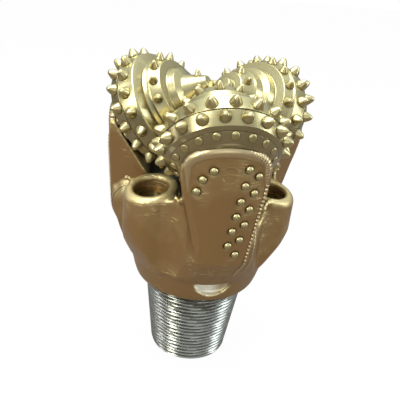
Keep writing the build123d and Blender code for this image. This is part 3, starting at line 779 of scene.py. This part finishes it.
def turned_steel_group():
    """Turned or ground metal: fine tool lines round it, patches of stain, and painted shade that
    darkens the thread roots.
    """
    group, entry, add, calc, blend = new_group("turned_steel_marks_and_root_shade", "ShaderNodeTree", [
        ("Steel", "Color", (0.4, 0.4, 0.38, 1)),
        ("Stain", "Color", (0.1, 0.1, 0.09, 1)),
        ("Roughness", "Float", 0.25),
    ], SHADE_OUTPUTS)
    where = add("ShaderNodeTexCoord").outputs["Object"]
    stretch = add("ShaderNodeMapping", {"Vector": where, "Scale": (1.0, 1.0, 25.0)})
    lines = add("ShaderNodeTexNoise", {
        "Vector": stretch.outputs[0], "Scale": 60.0, "Detail": 6.0,
    }).outputs["Fac"]
    patch = add("ShaderNodeTexNoise", {"Vector": where, "Scale": 30.0, "Detail": 5.0})
    root = add("ShaderNodeAttribute", attribute_name="root").outputs["Fac"]
    clean = calc("MULTIPLY_ADD", patch.outputs["Fac"], 1.7, -0.45, clamp=True)
    colour = blend(clean, entry["Stain"], entry["Steel"])
    # Painted shade: thread roots darkened towards near black.
    colour = blend(calc("MULTIPLY", calc("POWER", root, 1.6), 0.85), colour, (0.05, 0.05, 0.04, 1))
    bump = add("ShaderNodeBump", {"Height": lines, "Strength": 0.04, "Distance": 0.0004})
    add("NodeGroupOutput", {
        "Color": colour,
        "Roughness": calc("ADD", entry["Roughness"], calc("MULTIPLY_ADD", lines, 0.2, -0.1)),
        "Normal": bump.outputs["Normal"],
    })
    return group


steel_group = turned_steel_group()


def bare_metal(name, bright, stain, roughness):
    """Turned or ground metal with faint tool lines and stains."""
    return group_material(name, steel_group, 1.0, {
        "Steel": bright, "Stain": stain, "Roughness": roughness,
    })


pin_steel = bare_metal("pin_steel", (0.40, 0.42, 0.40, 1), (0.30, 0.31, 0.28, 1), 0.23)
pin_end_radius = PIN_BASE_RADIUS - PIN_LENGTH * PIN_SLOPE - THREAD_DEPTH - PIN_END_BEVEL
work = bmesh.new()
work.from_mesh(grown_mesh(thread_tree(), {"Steel": pin_steel}))
lathe(work, [
    (PIN_BASE_RADIUS, PIN_LENGTH), (WATER_BORE, PIN_LENGTH), (WATER_BORE, WATER_BORE_BEVEL),
    (WATER_BORE + WATER_BORE_BEVEL, 0.0), (pin_end_radius, 0.0),
], THREAD_AROUND - 1)
mesh = finished_mesh("threaded_pin", work, 2e-5)
shade_smooth(mesh, 50.0)
pin = link_mesh("threaded_pin", mesh, pin_steel)
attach(pin, "body")


# --- Cone shells -----------------------------------------------------------------------------
# Three forged steel cones, turned to lands, ridges and grooves so that the rows of one run in
# the grooves of the others. Painted with the body once they are on their journals.
JOURNAL_LEAN = math.radians(36.0)
CROSSING = Vector((0, 0, 0.3347))
CONE_STEPS = 144
SEAL_RECESS = [(0.033, 0.1045), (0.033, 0.0992), (0.0285, 0.0992)]
SHELL_BACK = [
    (104.5, 33.0, 0.4), (104.5, 40.3, 0.5), (103.3, 41.4, 0.5),
    (96.4, 51.05, 0.15), (96.3, 50.55, 0.15), (95.95, 51.05, 0.15), (95.85, 51.7, 0.15),
    (93.2, 55.38, 1.0),
    (80.3, 60.25, 0.3), (79.9, 59.5, 0.2), (79.1, 59.8, 0.2), (78.9, 60.9, 0.5),
    (62.8, 57.5, 2.2),
]
SHELL_FRONT = {
    1: [(61.2, 52.5, 1.0), (58.0, 40.0, 1.4), (52.0, 39.2, 0.8), (51.2, 40.4, 0.6),
        (48.6, 40.2, 0.6), (47.8, 38.6, 0.8), (43.0, 38.0, 1.0), (41.0, 34.5, 0.6),
        (30.8, 29.0, 1.6), (30.2, 18.0, 1.0), (20.0, 15.0, 2.0), (18.6, 8.0, 1.5), (18.4, 0.0, 0)],
    2: [(61.0, 55.0, 1.0), (52.8, 49.4, 1.2), (52.2, 39.5, 1.2), (43.2, 37.0, 1.6),
        (41.6, 30.5, 1.2), (33.0, 28.0, 1.0), (31.0, 26.0, 0.5), (18.8, 17.5, 1.4),
        (18.2, 9.5, 0.8), (14.6, 9.0, 0.5), (12.0, 7.5, 1.2), (11.4, 0.0, 0)],
    3: [(61.0, 52.5, 1.0), (59.0, 46.0, 1.0), (55.0, 42.5, 1.2), (52.3, 47.5, 1.2),
        (41.8, 39.8, 1.6), (41.2, 30.0, 1.2), (34.0, 27.0, 1.0), (31.0, 18.5, 1.2),
        (9.0, 7.0, 2.0), (8.4, 0.0, 0)],
}


def rounded(corners, arc_steps=4):
    """An outline with each corner rounded: corners are (x, y, radius), points are (x, y)."""
    points = []
    count = len(corners)
    for place, (x, y, radius) in enumerate(corners):
        if place in (0, count - 1) or radius <= 0:
            points.append((x, y))
            continue
        here = Vector((x, y))
        back = Vector(corners[place - 1][:2]) - here
        ahead = Vector(corners[place + 1][:2]) - here
        half = back.angle(ahead) / 2
        room = 0.45 * min(back.length, ahead.length)
        reach = min(radius / math.tan(half), room)
        start = here + back.normalized() * reach
        end = here + ahead.normalized() * reach
        for step in range(arc_steps + 1):
            t = step / arc_steps
            bend = start * (1 - t) ** 2 + here * 2 * t * (1 - t) + end * t ** 2
            points.append((bend.x, bend.y))
    return points


def journal_place(number):
    """Puts +Z along a leg's journal, outward and down, with its origin where the journals cross."""
    out = leg_heading(number)
    along = out * math.cos(JOURNAL_LEAN) - up * math.sin(JOURNAL_LEAN)
    side = up.cross(out)
    turn = Matrix((side, along.cross(side), along)).transposed().to_4x4()
    return Matrix.Translation(CROSSING) @ turn


# Painted light: a lit top tone for upward faces, a shaded side tone, and painted shade in the
# hollows.
cone_paint = gold_paint(
    "cone_gold", (0.67, 0.64, 0.345, 1), (0.25, 0.19, 0.095, 1), 0.26, 0.92,
    grain_scale=300.0, grain_height=0.02, dirt_reach=0.004, edge_wear=0.5,
)
for number in range(1, LEG_COUNT + 1):
    corners = rounded(SHELL_BACK + SHELL_FRONT[number])
    work = bmesh.new()
    lathe(work, [(radius / 1000, station / 1000) for station, radius in corners], CONE_STEPS)
    lathe(work, SEAL_RECESS, CONE_STEPS)
    mesh = finished_mesh(f"cone_shell_{number}", work, 1e-6)
    mesh.transform(journal_place(number))
    shade_smooth(mesh, 38.0)
    shell = link_mesh(f"cone_shell_{number}", mesh, cone_paint)
    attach(shell, f"cone_{number}_assembly")
    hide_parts(f"cone_{number}")


# --- Inserts ---------------------------------------------------------------------------------
# Sintered carbide buttons pressed into drilled holes, row by row: blunt cones on the cutting
# rows and low domes on the gauge band. They are sprayed over with the body's paint.
INSERT_STEPS = 20
CUTTING_ROWS = {
    "gauge_compacts": dict(
        cones=(1, 2, 3), count=18, start=0.0, station=98.86, radius=47.59, lean=54.0,
        outline=[(3.9, -1.0), (3.9, 0.25), (3.55, 0.75), (2.5, 1.15), (1.2, 1.35), (0, 1.4)],
    ),
    "heel_row_inserts": dict(
        cones=(1, 2, 3), count=18, start=10.0, station=85.67, radius=58.20, lean=20.5,
        outline=[(6.0, -2.0), (6.0, 0.6), (5.75, 1.4), (4.75, 3.6), (3.65, 5.8), (2.8, 7.2),
                 (2.0, 8.1), (1.05, 8.65), (0, 8.8)],
    ),
    "second_row_inserts": dict(
        cones=(1, 2, 3), count=18, start=0.0, station=72.49, radius=59.53, lean=-11.8,
        outline=[(6.0, -2.0), (6.0, 0.6), (5.75, 1.4), (4.7, 3.5), (3.55, 5.6), (2.7, 6.9),
                 (1.95, 7.7), (1.05, 8.2), (0, 8.35)],
    ),
    "third_row_inserts": dict(
        cones=(1,), count=10, start=10.0, station=35.8, radius=31.8, lean=-28.0,
        outline=[(4.8, -2.0), (4.8, 0.5), (4.55, 1.3), (3.75, 3.2), (2.8, 5.1), (2.15, 6.2),
                 (1.5, 6.85), (0.8, 7.2), (0, 7.3)],
    ),
    "third_row_inserts_2": dict(
        cones=(2,), count=16, start=0.0, station=57.3, radius=53.5, lean=-39.0,
        outline=[(5.2, -2.0), (5.2, 0.3), (4.9, 0.9), (3.3, 3.6), (2.2, 5.3), (1.5, 5.9),
                 (0.7, 5.95), (0, 6.0)],
    ),
    "inner_row_inserts": dict(
        cones=(2,), count=8, start=0.0, station=25.2, radius=22.0, lean=-35.0,
        outline=[(4.2, -2.0), (4.2, 0.3), (3.9, 0.8), (2.8, 3.6), (1.9, 5.6), (1.3, 6.3),
                 (0.7, 6.6), (0, 6.7)],
    ),
    "third_row_inserts_3": dict(
        cones=(3,), count=14, start=0.0, station=47.0, radius=43.8, lean=-36.0,
        outline=[(4.8, -2.0), (4.8, 0.4), (4.5, 1.1), (3.6, 3.2), (2.6, 5.4), (1.9, 6.6),
                 (1.3, 7.1), (0.7, 7.4), (0, 7.5)],
    ),
    "nose_inserts": dict(
        cones=(3,), count=4, start=0.0, station=17.0, radius=11.4, lean=-27.0,
        outline=[(3.6, -1.5), (3.6, 0.3), (3.4, 0.7), (2.4, 3.1), (1.6, 4.8), (1.1, 5.4),
                 (0.6, 5.6), (0, 5.7)],
    ),
}


def stand_on(add, points, facing, pattern, size=(1.0, 1.0, 1.0)):
    """Copies of a pattern object on points, each standing along its facing."""
    turn = add("FunctionNodeAlignRotationToVector", {"Vector": facing}, axis="Z")
    source = add("GeometryNodeObjectInfo", {"Object": pattern})
    return add("GeometryNodeInstanceOnPoints", {
        "Points": points, "Instance": source.outputs["Geometry"],
        "Rotation": turn.outputs[0], "Scale": size,
    }).outputs[0]


def ring_tree():
    """A ring of inserts about +Z, each leaning along the axis and standing out from it."""
    tree, entry, add, calc, _ = new_group("insert_ring", "GeometryNodeTree", [
        ("Geometry", "Geometry"),
        ("Insert", "Object"),
        ("Count", "Int", 18),
        *((name, "Float") for name in ("Station", "Radius", "Lean", "Start")),
        ("Carbide", "Material"),
    ], [("Geometry", "Geometry")])
    share = calc("DIVIDE", add("GeometryNodeInputIndex").outputs[0], entry["Count"])
    angle = calc("ADD", entry["Start"], calc("MULTIPLY", share, 2 * math.pi))
    across = calc("COSINE", angle)
    away = calc("SINE", angle)

    def around(reach, rise):
        return add("ShaderNodeCombineXYZ", {
            0: calc("MULTIPLY", reach, across), 1: calc("MULTIPLY", reach, away), 2: rise,
        }).outputs[0]

    points = add("GeometryNodePoints", {
        "Count": entry["Count"], "Position": around(entry["Radius"], entry["Station"]),
    })
    facing = around(calc("COSINE", entry["Lean"]), calc("SINE", entry["Lean"]))
    end_tree(add, stand_on(add, points.outputs[0], facing, entry["Insert"]), entry["Carbide"])
    return tree


def turned_pattern(name, outline, material):
    """One turned shape about +Z, to be copied, from an outline of (radius, height) in mm."""
    work = bmesh.new()
    lathe(work, [(radius / 1000, height / 1000) for radius, height in outline], INSERT_STEPS)
    return link_mesh(name, finished_mesh(name, work, 1e-7), material)


# Painted light: a lit top tone for upward faces, a shaded side tone, and painted shade at the feet
# of the inserts.
insert_paint = gold_paint(
    "insert_gold", (0.76, 0.71, 0.385, 1), (0.31, 0.235, 0.10, 1), 0.30, 0.9,
    grain_scale=300.0, grain_height=0.02, dirt_reach=0.003, edge_wear=0.2,
)
insert_ring = ring_tree()
for row_name, row in CUTTING_ROWS.items():
    foot = (0, row["outline"][0][1])
    pattern = turned_pattern("insert_shape", [foot] + row["outline"], insert_paint)
    for number in row["cones"]:
        node = row_name if row_name[-1].isdigit() else f"{row_name}_{number}"
        mesh = grown_mesh(insert_ring, {
            "Insert": pattern, "Count": row["count"], "Carbide": insert_paint,
            "Station": row["station"] / 1000, "Radius": row["radius"] / 1000,
            "Lean": math.radians(row["lean"]), "Start": math.radians(90.0 + row["start"]),
        })
        mesh.transform(journal_place(number))
        shade_smooth(mesh, 50.0)
        ring = link_mesh(node + "_ring", mesh, insert_paint)
        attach(ring, f"cone_{number}_assembly")
        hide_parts(node)
    bpy.data.objects.remove(pattern)


# --- Bearing, nozzle and reservoir pieces ----------------------------------------------------
# Bought-in or machined pieces: bronze bushings and washers, steel balls and plugs, rubber
# packings, and carbide jets held by steel rings. Most are hidden once the bit is together.
bronze = bare_metal("bearing_bronze", (0.62, 0.42, 0.19, 1), (0.42, 0.26, 0.11, 1), 0.28)
rubber, rubber_shader = new_material("packing_rubber")
add = tree_tools(rubber.node_tree)[0]
rubber_grain = add("ShaderNodeTexNoise", {
    "Vector": add("ShaderNodeTexCoord").outputs["Object"], "Scale": 900.0,
})
rubber_tone = add("ShaderNodeMapRange", {
    "Value": rubber_grain.outputs["Fac"], "To Min": 0.012, "To Max": 0.03,
})
fill(rubber_shader, {"Base Color": rubber_tone.outputs[0], "Roughness": 0.55})
FINISHES = {
    "jet_nozzle": bare_metal("jet_carbide", (0.20, 0.18, 0.12, 1), (0.07, 0.06, 0.04, 1), 0.32),
    "nozzle_retainer": bare_metal(
        "retainer_steel", (0.60, 0.50, 0.26, 1), (0.35, 0.27, 0.12, 1), 0.3
    ),
    "retaining_balls": bare_metal("ground_steel", (0.6, 0.6, 0.6, 1), (0.45, 0.45, 0.45, 1), 0.15),
    "journal_bushing": bronze, "thrust_washer": bronze,
    "cone_seal": rubber, "nozzle_packing": rubber, "reservoir_diaphragm": rubber,
    "ball_plug": body_paint, "reservoir_cap": body_paint,
}
for name, node in nodes.items():
    for start, finish in FINISHES.items():
        if name.startswith(start):
            node.data.materials.clear()
            node.data.materials.append(finish)


# --- Hardfacing buttons on the leg backs -----------------------------------------------------
# Domed carbide buttons pressed into the back of each leg: an arc of three at the upper left
# and a double column down the right-hand edge, which leads in drilling and wears first.
LEFT_BUTTONS = [(-14.5, 279.0), (-23.5, 269.5), (-28.0, 257.0)]
BUTTON_COLUMNS = [((18.5, 281.0), (8.3, 199.5)), ((29.0, 273.5), (17.3, 188.5))]
COLUMN_BUTTONS = 6
BUTTON_OUTLINE = [(0, -1.5), (3.9, -1.5), (3.9, 0.3), (3.6, 1.1), (2.9, 1.9), (1.9, 2.5),
                  (0.9, 2.8), (0, 2.9)]


def back_point(number, across, height, sunk=0.0):
    """A point on the back of a leg and its facing, from its place across and up in mm."""
    out = leg_heading(number, math.degrees(math.asin(across / BACK_RADIUS)))
    return out * (along_table(LEG_BACK, height) - sunk) / 1000 + up * height / 1000, out


def spaced(start, end, steps):
    """Evenly spaced rows of numbers from one row to another, both included."""
    return [
        tuple(low + (high - low) * step / steps for low, high in zip(start, end))
        for step in range(steps + 1)
    ]


def stud_tree():
    """A stud on every point of a mesh, standing along the point's facing."""
    tree, entry, add, *_ = new_group("studs_on_points", "GeometryNodeTree", [
        ("Geometry", "Geometry"),
        ("Stud", "Object"),
        ("Size", "Float", 1.0),
        ("Carbide", "Material"),
    ], [("Geometry", "Geometry")])
    facing = add("GeometryNodeInputNamedAttribute", {"Name": "facing"}, data_type="FLOAT_VECTOR")
    studs = stand_on(
        add, entry["Geometry"], facing.outputs["Attribute"], entry["Stud"], entry["Size"]
    )
    end_tree(add, studs, entry["Carbide"])
    return tree


button_places = list(LEFT_BUTTONS)
for top, foot in BUTTON_COLUMNS:
    button_places += spaced(top, foot, COLUMN_BUTTONS - 1)
studs_on_points = stud_tree()
pattern = turned_pattern("button_shape", BUTTON_OUTLINE, insert_paint)
for number in range(1, LEG_COUNT + 1):
    feet = [back_point(number, across, height) for across, height in button_places]
    spots = bpy.data.meshes.new("button_spots")
    spots.from_pydata([foot for foot, out in feet], [], [])
    facing = spots.attributes.new("facing", "FLOAT_VECTOR", "POINT")
    facing.data.foreach_set("vector", [part for foot, out in feet for part in out])
    mesh = grown_mesh(studs_on_points, {"Stud": pattern, "Carbide": insert_paint}, spots)
    shade_smooth(mesh, 50.0)
    buttons = link_mesh(f"leg_button_domes_{number}", mesh, insert_paint)
    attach(buttons, "body")
    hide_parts(f"leg_buttons_{number}")
bpy.data.objects.remove(pattern)


# --- Hardfacing beads and ball plug welds ----------------------------------------------------
# A thick bead of hard weld metal laid round the arch of each leg to guard its edge, rippled
# where the torch moved slowly, then thin stitched beads down the leading edge, and a ring of
# weld over the ball plug. All are sprayed over with the body's paint.
BEAD_SIDES = 14
ARCH_HALF = 43.0
ARCH_SPRING = 279.0
ARCH_RISE = 24.0
ARCH_STEPS = 40
BEAD_INSET = 5.4
BEAD_THICK = 5.4
PLUG_WELD_PLACE = (1.5, 276.0)
PLUG_WELD_RADIUS = 8.2
PLUG_WELD_STEPS = 48
PLUG_WELD_THICK = 0.75
OUTSIDE = 140.0


def bead_tree():
    """A weld bead along a path: its thickness comes from the path, and ripples run along it."""
    tree, entry, add, calc, _ = new_group("weld_bead", "GeometryNodeTree", [
        ("Geometry", "Geometry"),
        ("Ripple Pitch", "Float", 0.0032),
        ("Ripple Depth", "Float", 0.10),
        ("Roughness", "Float", 0.16),
        ("Step", "Float", 0.0008),
        ("Sides", "Int", BEAD_SIDES),
        ("Paint", "Material"),
    ], [("Geometry", "Geometry")])
    path = add("GeometryNodeMeshToCurve", {"Mesh": entry["Geometry"]}).outputs[0]
    even = add("GeometryNodeResampleCurve", {"Curve": path, "Length": entry["Step"]}, mode="LENGTH")
    thick, ripple = (
        add("GeometryNodeInputNamedAttribute", {"Name": name}).outputs["Attribute"]
        for name in ("thickness", "ripple")
    )
    travel = add("GeometryNodeSplineParameter").outputs["Length"]
    turns = calc("DIVIDE", travel, entry["Ripple Pitch"])
    wave = calc("SINE", calc("MULTIPLY", turns, 2 * math.pi))
    depth = calc("MULTIPLY", calc("MULTIPLY", wave, ripple), entry["Ripple Depth"])
    lumps = add("ShaderNodeTexNoise", {
        "Vector": add("GeometryNodeInputPosition").outputs[0], "Scale": 160.0,
    }).outputs["Fac"]
    swell = calc("MULTIPLY_ADD", calc("SUBTRACT", lumps, 0.5), entry["Roughness"],
                 calc("ADD", depth, 1.0))
    radius = add("GeometryNodeSetCurveRadius", {
        "Curve": even.outputs[0], "Radius": calc("MULTIPLY", thick, swell),
    })
    ring = add("GeometryNodeCurvePrimitiveCircle", {"Resolution": entry["Sides"], "Radius": 1.0})
    tube = add("GeometryNodeCurveToMesh", {
        "Curve": radius.outputs[0], "Profile Curve": ring.outputs["Curve"],
        "Scale": add("GeometryNodeInputRadius").outputs[0], "Fill Caps": True,
    })
    end_tree(add, tube.outputs[0], entry["Paint"])
    return tree


def arch_path():
    """The arch bead from left to right: a rise, the arc, and a short run down."""
    spots = spaced((-35.5, 255.0, 0.6, 0.0), (-37.6, ARCH_SPRING, BEAD_THICK, 0.0), 6)[:-1]
    for step in range(ARCH_STEPS + 1):
        share = step / ARCH_STEPS
        angle = math.pi * (1 - share)
        ripple = clamped((share - 0.62) * 6.0) * clamped((1.06 - share) * 12)
        across = (ARCH_HALF - BEAD_INSET) * math.cos(angle)
        height = ARCH_SPRING + (ARCH_RISE - BEAD_INSET) * math.sin(angle)
        spots.append((across, height, BEAD_THICK + 1.2 * math.sin(angle), 0.06 + ripple))
    foot = (38.6, ARCH_SPRING - 16.0, 2.0, 0.8)
    return spots + spaced((37.6, ARCH_SPRING, BEAD_THICK, 0.8), foot, 8)[1:]


def plug_ring():
    """The ring of weld round the ball plug, ground away here and there."""
    spots = []
    for step in range(PLUG_WELD_STEPS + 1):
        angle = 2 * math.pi * step / PLUG_WELD_STEPS
        left = max(0.14, math.sin(2.0 * angle + 0.9) * (0.7 + 0.3 * math.sin(7.0 * angle)))
        across = PLUG_WELD_PLACE[0] + PLUG_WELD_RADIUS * math.cos(angle)
        height = PLUG_WELD_PLACE[1] + PLUG_WELD_RADIUS * math.sin(angle)
        spots.append((across, height, PLUG_WELD_THICK * left, 1.0))
    return spots


# Each bead: its path (across, up, thickness, share of ripple), the share of its thickness that
# is buried, and its sizes. The seam bead lies on the shelf of weld metal beside the leg, and the
# others on the leg's back.
BEADS = {
    "arch_bead": (arch_path(), 0.72, {
        "Ripple Pitch": 0.0031, "Ripple Depth": 0.08, "Roughness": 0.08,
    }),
    "stitch_bead": (spaced((39.4, 264.0, 1.45, 1.0), (27.4, 152.0, 1.15, 1.0), 40), 0.2, {
        "Ripple Pitch": 0.0042, "Ripple Depth": 0.42,
    }),
    "seam_bead": (spaced((41.0, 216.0, 0.9, 1.0), (33.0, 156.0, 0.9, 1.0), 40), 0.1, {
        "Ripple Pitch": 0.0036, "Ripple Depth": 0.3,
    }),
    "plug_weld": (plug_ring(), 0.5, {"Ripple Pitch": 0.0024}),
}
weld_bead = bead_tree()
# Painted light: a lit top tone for upward faces, a shaded side tone, and painted shade in the
# hollows.
weld_paint = gold_paint(
    "weld_gold", (0.80, 0.70, 0.42, 1), (0.34, 0.225, 0.11, 1), 0.34, 0.85,
    grain_scale=400.0, grain_height=0.15, dirt_reach=0.003, edge_wear=0.3,
)
skin_tree = BVHTree.FromPolygons(
    [vertex.co for vertex in body_skin.vertices], [face.vertices for face in body_skin.polygons]
)
for number in range(1, LEG_COUNT + 1):
    out = leg_heading(number)
    for name, (spots, buried, sizes) in BEADS.items():
        places = []
        for across, height, thick, ripple in spots:
            place = back_point(number, across, height, buried * thick)[0]
            if name == "seam_bead":
                hit = skin_tree.ray_cast(leg_point(number, across, OUTSIDE, height), -out)[0]
                place = hit - out * (buried * thick) / 1000
            places.append(place)
        line = bpy.data.meshes.new("path")
        line.from_pydata(places, [(step, step + 1) for step in range(len(places) - 1)], [])
        for label, column, unit in (("thickness", 2, 1000), ("ripple", 3, 1)):
            share = line.attributes.new(label, "FLOAT", "POINT")
            share.data.foreach_set("value", [spot[column] / unit for spot in spots])
        mesh = grown_mesh(weld_bead, {"Paint": weld_paint, **sizes}, line)
        shade_smooth(mesh)
        piece = link_mesh(f"{name}_{number}", mesh, weld_paint)
        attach(piece, "body")


final_low, final_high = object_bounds()
sizes = {"cad": [list(cad_low), list(cad_high)], "visual": [list(final_low), list(final_high)]}
